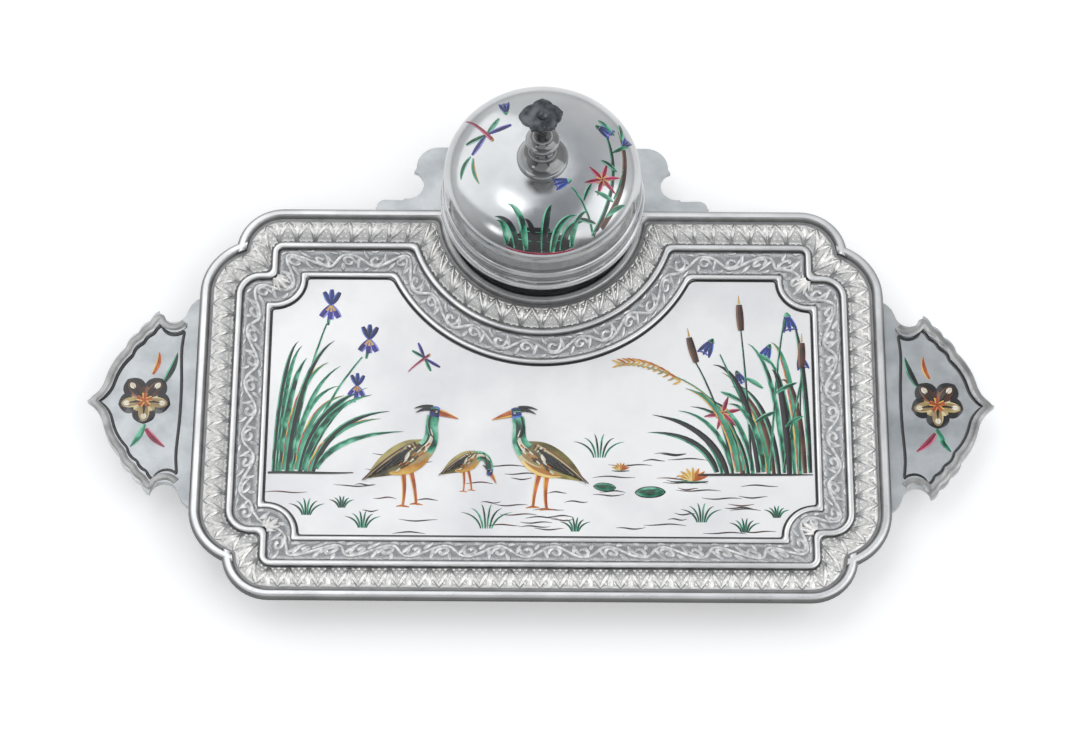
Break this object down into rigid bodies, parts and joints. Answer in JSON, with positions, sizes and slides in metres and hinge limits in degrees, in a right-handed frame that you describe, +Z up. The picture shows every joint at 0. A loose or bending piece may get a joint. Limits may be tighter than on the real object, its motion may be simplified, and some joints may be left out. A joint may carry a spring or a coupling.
{
  "type": "desk inkstand",
  "caption": "Silvered pen tray with lobed corners and an enamel panel, side handles and a hinged domed inkwell in a round bay.",
  "frame": {"origin": "under the middle of the stand's plan, on the table", "axes": "+X to the writer's right, along the tray; +Y from the writer to the inkwell; +Z up"},
  "size_m": [0.342, 0.2071, 0.0955],
  "materials": {
    "oxidised_silver": "cast silver plate, polished on the beads and darkened in the stippled ground",
    "panel_silver": "satin silver plate, finely brushed",
    "polished_silver": "polished silver plate, mirror bright",
    "dark_flower": "dark oxidised silver, polished",
    "porcelain": "white glazed porcelain",
    "brass": "plain turned brass"
  },
  "bodies": {
    "stand": {"tray_border": "oxidised_silver", "enamel_panel": "panel_silver", "panel_clips": "brass", "clip_screws": "brass", "left_handle": "panel_silver", "right_handle": "panel_silver", "handle_screws": "brass", "back_bracket": "panel_silver", "bracket_screws": "brass", "foot_front_left": "oxidised_silver", "foot_front_right": "oxidised_silver", "foot_back_left": "oxidised_silver", "foot_back_right": "oxidised_silver", "inkwell_body": "polished_silver", "inkwell_ring_nut": "brass", "well_plate": "polished_silver", "hinge_base_leaf": "polished_silver", "hinge_pin": "brass"},
    "lid": {"lid_bezel": "polished_silver", "lid_dome": "polished_silver", "hinge_lid_leaf": "polished_silver", "finial_stem": "polished_silver", "finial_flower": "dark_flower", "finial_button": "dark_flower", "finial_washer": "brass", "finial_nut": "brass"},
    "liner": {"ink_liner": "porcelain"}
  },
  "joints": [
    {"name": "lid_hinge", "type": "hinge", "parent": "stand", "child": "lid", "pos_m": [0, 0.09865, 0.0332], "axis": [-1, 0, 0], "range_deg": [0, 105]},
    {"name": "liner_lift", "type": "slide", "parent": "stand", "child": "liner", "axis": [0, 0, 1], "range_m": [0, 0.014]}
  ]
}
